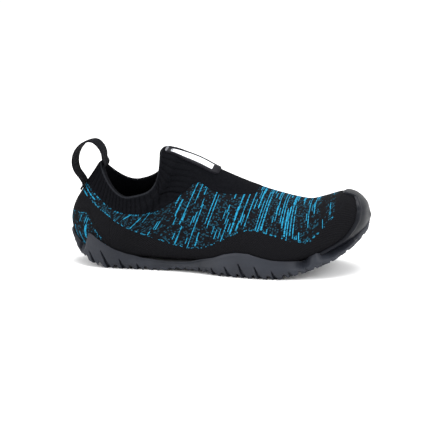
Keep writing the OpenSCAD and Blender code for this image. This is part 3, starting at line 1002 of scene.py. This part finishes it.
def bumper_reach(s):
    """Row number at which each line round the toe reaches the bumper's rim."""
    u = np.linspace(0.02, 7.5, 600)
    points = sock.at(u[None, :], s[:, None])
    outside = points[..., 0] < line_at(BUMPER_RIM, points[..., 2])
    last = np.interp(np.argmax(outside, 1), np.arange(len(u)), u)
    for _ in range(4):
        last = (np.roll(last, 1) + 2 * last + np.roll(last, -1)) / 4
    return last


def toe_bumper():
    """The moulded toe cap: tip to rim along lines round the toe, with a bead at its edge."""
    s = np.arange(420) / 420
    t = np.linspace(0.006, 1, 70)[:, None]
    u_grid, s_grid = bumper_reach(s)[None, :] * t, np.broadcast_to(s[None, :], (len(t), len(s)))
    flat = sock.at(u_grid, s_grid)
    to_rim = np.linalg.norm(flat - flat[-1:], axis=-1)
    full = 2.9 - 1.4 * smoothstep(flat[..., 2], 60 * K, 70 * K)
    bead = 0.3 * np.exp(-(((to_rim - 2.6) / 1.3) ** 2))
    thick = full - (full - 0.6) * (1 - smoothstep(to_rim, 0, 2.2)) + bead
    outer = sock.at(u_grid, s_grid, thick)
    inner = sock.at(u_grid[::-1], s_grid[::-1], 0.05)
    # Painted highlight: a pale line along the bead at the rim.
    scuff_and_highlight = np.exp(-(((to_rim - 2.2) / 0.9) ** 2)) * 0.6
    wear = np.concatenate([scuff_and_highlight, np.zeros_like(scuff_and_highlight[1:])])
    obj = capped("toe_bumper", np.concatenate([outer, inner[:-1]]), MATERIALS["bumper"], wear=wear)
    return finish_piece(obj, ["toe_bumper"], body="forefoot")


# ---- badge and heel loop

BADGE_ASIDE = 3.0  # how far the badge lies off the ridge, towards the outer side


def ridge_share(u):
    """Share s at which the rings u cross the middle line of the foot."""
    s = np.linspace(0.44, 0.58, 141)
    y = sock.at(u[:, None], s[None, :])[..., 1]
    middle = catmull(SECTIONS[:, MIDDLE_Y:MIDDLE_Y + 1], u)[:, 0] * K
    return np.array([np.interp(m, row, s) for m, row in zip(middle, y)])


def badge(name, material, half_width, ends_x, low, high, frame_raise=0.0):
    """A film patch along the ridge of the instep, with rounded corners and perhaps a raised frame."""
    ridge_x = sock.at(sock.u, np.full_like(sock.u, 0.5))[:, 0]
    order = np.argsort(ridge_x)
    u0, u1 = (np.interp(v * K, ridge_x[order], sock.u[order]) for v in ends_x)
    t = np.linspace(0, 1, 120)
    u = u0 + (u1 - u0) * t
    from_end = np.minimum(t, 1 - t) * abs(ends_x[1] - ends_x[0]) * K
    radius = 3.0
    corner = np.clip((radius - from_end) / radius, 0, 1)
    half = (half_width - radius * (1 - np.sqrt(1 - corner**2)))[:, None]
    across = np.linspace(-1, 1, 61)[None, :]
    girth = np.interp(u, sock.u, sock.girth)[:, None]
    s = ridge_share(u)[:, None] + (across * half - BADGE_ASIDE) / girth
    u = np.broadcast_to(u[:, None], s.shape)
    to_rim = np.minimum((1 - np.abs(across)) * half, from_end[:, None])
    rounded = smoothstep(to_rim, 0, 0.5)
    framed = frame_raise * (1 - smoothstep(to_rim, 1.9, 2.7)) * rounded
    stiff = 0.01 * np.abs(across * half) ** 1.75
    top = low + (high - low) * (0.4 + 0.6 * rounded) + framed + stiff
    tab = smoothstep(t, 0.9, 0.93)[:, None] * (to_rim > 0.8)
    obj = shell(name, sock.at(u, s, top), sock.at(u, s, low - 0.4), False, material, tab=tab)
    return finish_piece(obj, [name])


LOOP_LINE = [
    [-132.6, 69], [-130.4, 73.6], [-132.4, 79], [-136.8, 87], [-138.4, 96], [-135.8, 105.6], [-128.8, 113.4],
    [-119.6, 115.2], [-113.2, 110], [-110.6, 104], [-110.8, 99], [-109.2, 94.4], [-111.4, 89],
]
LOOP_STEPS, LOOP_COLUMNS = 180, 33
HALF_WEBBING = 0.75  # half the webbing's thickness


def loop_sheet(half):
    """The webbing's middle face, its outward directions, and its length up to each row."""
    path = catmull(LOOP_LINE, np.linspace(0, len(LOOP_LINE) - 1, LOOP_STEPS)) * K
    tangent = np.gradient(path, axis=0)
    tangent /= np.linalg.norm(tangent, axis=1, keepdims=True)
    run = length_along(path)
    across = np.linspace(-1, 1, LOOP_COLUMNS)
    flat = np.zeros(LOOP_STEPS)
    twist = np.radians(9) * np.sin(np.pi * np.clip(run / run[-1], 0, 1)) ** 1.5
    wide = np.column_stack([np.sin(twist), np.cos(twist), flat])
    centre = np.column_stack([path[:, 0], flat, path[:, 1]])
    sheet = centre[:, None, :] + wide[:, None, :] * (across * half)[None, :, None]
    hug = 1.7 * (1 - smoothstep(run, 8, 22)) + 1.5 * smoothstep(run, run[-1] - 18, run[-1] - 6)
    sheet[..., 0] += hug[:, None] * across**2
    out = np.column_stack([-tangent[:, 1], flat, tangent[:, 0]])
    return sheet, out[:, None, :], run


def pull_loop():
    """The webbing loop: one strip, sewn outside the heel, up and over, and down inside the cuff."""
    low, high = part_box("pull_loop")
    half = (high[1] - low[1]) / MM / 2 - 0.2
    sheet, out, run = loop_sheet(half)
    across = np.linspace(-1, 1, LOOP_COLUMNS)
    thick = (HALF_WEBBING * (1 - 0.75 * np.abs(across) ** 10))[None, :, None]
    cup = (0.25 * (1 - across**2))[None, :, None]
    shape = sheet.shape[:2]
    obj = shell("pull_loop_webbing", sheet + out * (cup + thick), sheet + out * (cup - thick), False,
                MATERIALS["webbing"], across=np.broadcast_to(across * half, shape),
                along=np.broadcast_to(run[:, None], shape))
    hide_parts("pull_loop", "loop_outer_tail", "loop_inner_tail")
    up = Vector((-0.79, 0, 0.62))
    start = Vector(JOINTS["loop_swing"]["pos_m"]) - up * 2 * MM
    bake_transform(obj)
    return obj


# ---- stage


def white_floor():
    far = 6000
    corners = [(-far, -far, 0), (far, -far, 0), (far, far, 0), (-far, far, 0)]
    paper = Graph("floor_paper", (0.93, 0.93, 0.93), 0.9).material
    build("floor", corners, [(0, 1, 2, 3)], paper)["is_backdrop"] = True


def white_world():
    world = bpy.data.worlds.new("studio")
    bpy.context.scene.world = world
    world.use_nodes = True
    background = world.node_tree.nodes["Background"]
    background.inputs["Color"].default_value = (1, 1, 1, 1)
    background.inputs["Strength"].default_value = 0.95


def look_along(obj, direction):
    """Turns an object's own Z axis along a direction."""
    obj.rotation_mode = "QUATERNION"
    obj.rotation_quaternion = direction.to_track_quat("Z", "Y")
    bpy.context.scene.collection.objects.link(obj)


def softbox(name, place, aim, size, power):
    light = bpy.data.lights.new(name, "AREA")
    light.shape, light.size, light.size_y, light.energy = "RECTANGLE", size[0], size[1], power
    obj = bpy.data.objects.new(name, light)
    obj.location = place
    look_along(obj, Vector(place) - Vector(aim))


def camera():
    azimuth, elevation, distance, lens_ratio = math.radians(10), math.radians(13), 2.0, 0.0871
    flat = math.cos(elevation)
    back = Vector((math.sin(azimuth) * flat, -math.cos(azimuth) * flat, math.sin(elevation)))
    data = bpy.data.cameras.new("camera")
    data.sensor_width = 36
    data.lens = lens_ratio * distance / MM
    data.clip_start, data.clip_end = 0.05, 50
    obj = bpy.data.objects.new("camera", data)
    obj.location = Vector((0.0004, 0, 0.0432)) + back * distance
    look_along(obj, back)
    bpy.context.scene.camera = obj


camera()
white_floor()
white_world()
softbox("top_box", (0.1, 0.1, 1.5), (0, 0, 0.05), (1.4, 1.0), 22)
softbox("left_box", (-1.1, -0.9, 0.7), (0, 0, 0.05), (0.7, 0.9), 12)
softbox("right_box", (1.2, -0.5, 0.8), (0.05, 0, 0.05), (0.5, 0.9), 12)
bpy.context.scene.view_settings.view_transform = "Standard"

knit_upper()
ribbed_cuff()
instep_gore()
neoprene_lining()
foam_bed = foot_bed("insole", MATERIALS["insole"], top=-7.6, bottom=-4.6,
                    half_share=0.125, first=1.6, last=15.3)
foot_bed("strobel_board", MATERIALS["board"], top=-3.2, bottom=-1.8,
         half_share=0.13, first=1.8, last=15.2)
outsole()
foam_wedge = midsole()
toe_bumper()
badge("instep_badge", MATERIALS["badge"], half_width=8.6, ends_x=(2, -50.5), low=0.3, high=0.55,
      frame_raise=1.35)
badge("badge_stripe", MATERIALS["inlay"], half_width=4.7, ends_x=(-1.0, -45.5), low=0.5,
      high=0.75)
pull_loop()
stiffener("heel_counter", "rearfoot", first_u=14.6, last_u=18.2, half=0.26, middle_s=0.0)
stiffener("toe_puff", "forefoot", first_u=1.2, last_u=4.4, half=0.34, middle_s=0.5)

({name: [list(map(float, p)) for p in box] for name, box in
           (("cad", cad_box), ("visual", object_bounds()))})
